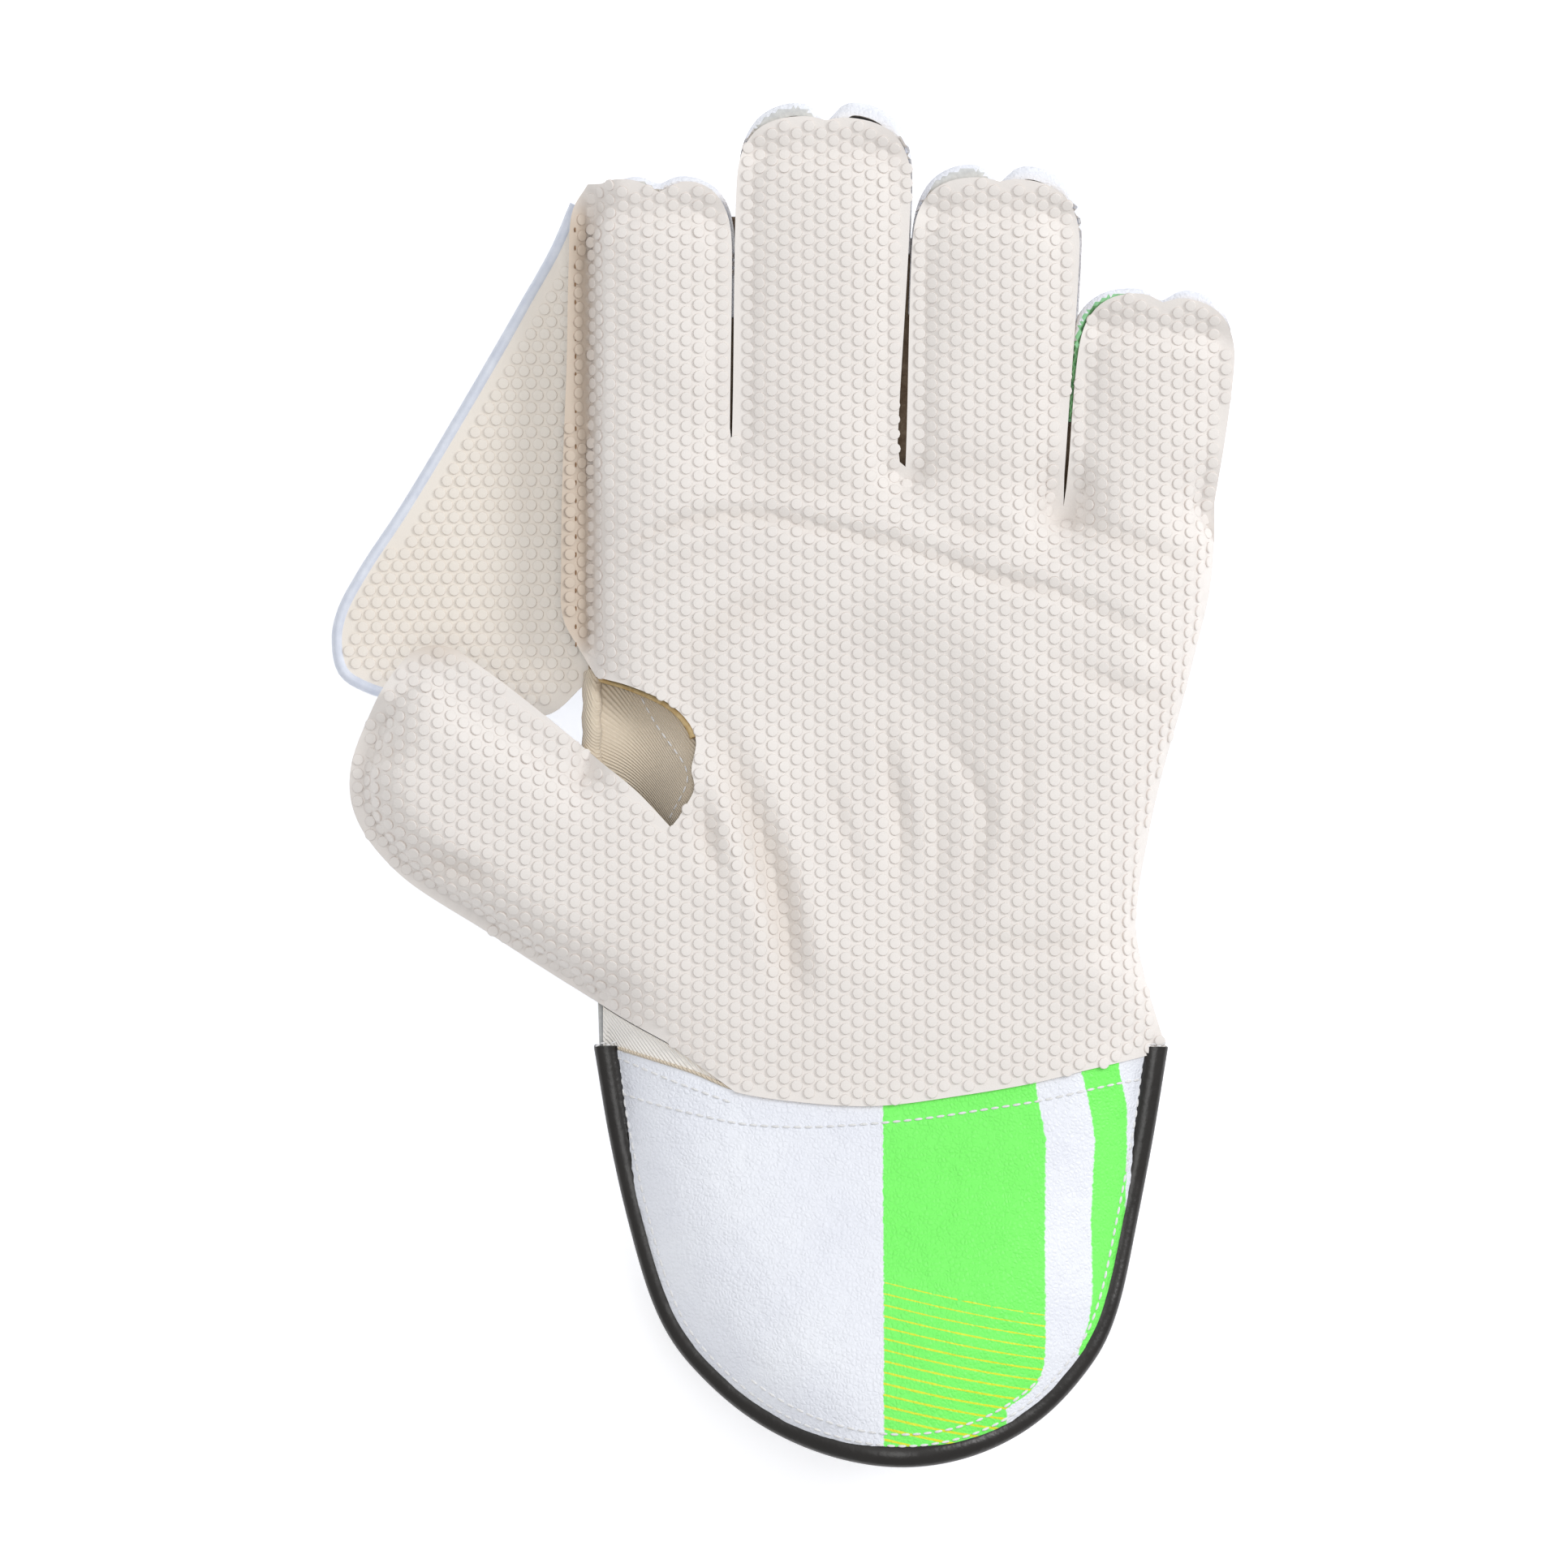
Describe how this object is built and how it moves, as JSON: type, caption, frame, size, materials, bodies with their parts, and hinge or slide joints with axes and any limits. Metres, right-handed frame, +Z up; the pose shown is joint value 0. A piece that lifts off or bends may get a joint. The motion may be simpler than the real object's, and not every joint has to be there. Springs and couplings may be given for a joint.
{
  "type": "wicketkeeping glove",
  "caption": "Left wicketkeeping glove with a pimpled rubber palm, webbed thumb, padded leather back and a flared cuff edged with dark piping.",
  "frame": {"origin": "middle of the glove's plan, on the surface that it lies on", "axes": "+Y from the cuff towards the fingertips, +Z up out of the palm, -X towards the thumb"},
  "size_m": [0.2224, 0.3346, 0.0565],
  "materials": {
    "rubber": "matt off-white rubber with round pimples",
    "web_rubber": "matt cream rubber with round pimples",
    "white_leather": "coated white leather, fine grain",
    "binding_leather": "smooth folded white strip",
    "lining_cloth": "fine beige twill",
    "cotton_tape": "cream cotton twill",
    "piping_vinyl": "satin black"
  },
  "bodies": {
    "root": {"palm_rubber": "rubber", "index_rubber": "rubber", "middle_rubber": "rubber", "ring_rubber": "rubber", "little_rubber": "rubber", "thumb_rubber": "rubber", "web_panel": "web_rubber", "index_back": "white_leather", "middle_back": "white_leather", "ring_back": "white_leather", "little_back": "white_leather", "thumb_back": "white_leather", "hand_back": "white_leather", "cuff_front": "white_leather", "cuff_back": "white_leather", "web_binding": "binding_leather", "crotch_lining": "lining_cloth", "wrist_tape": "cotton_tape", "cuff_front_piping": "piping_vinyl", "cuff_back_piping": "piping_vinyl"}
  },
  "joints": []
}
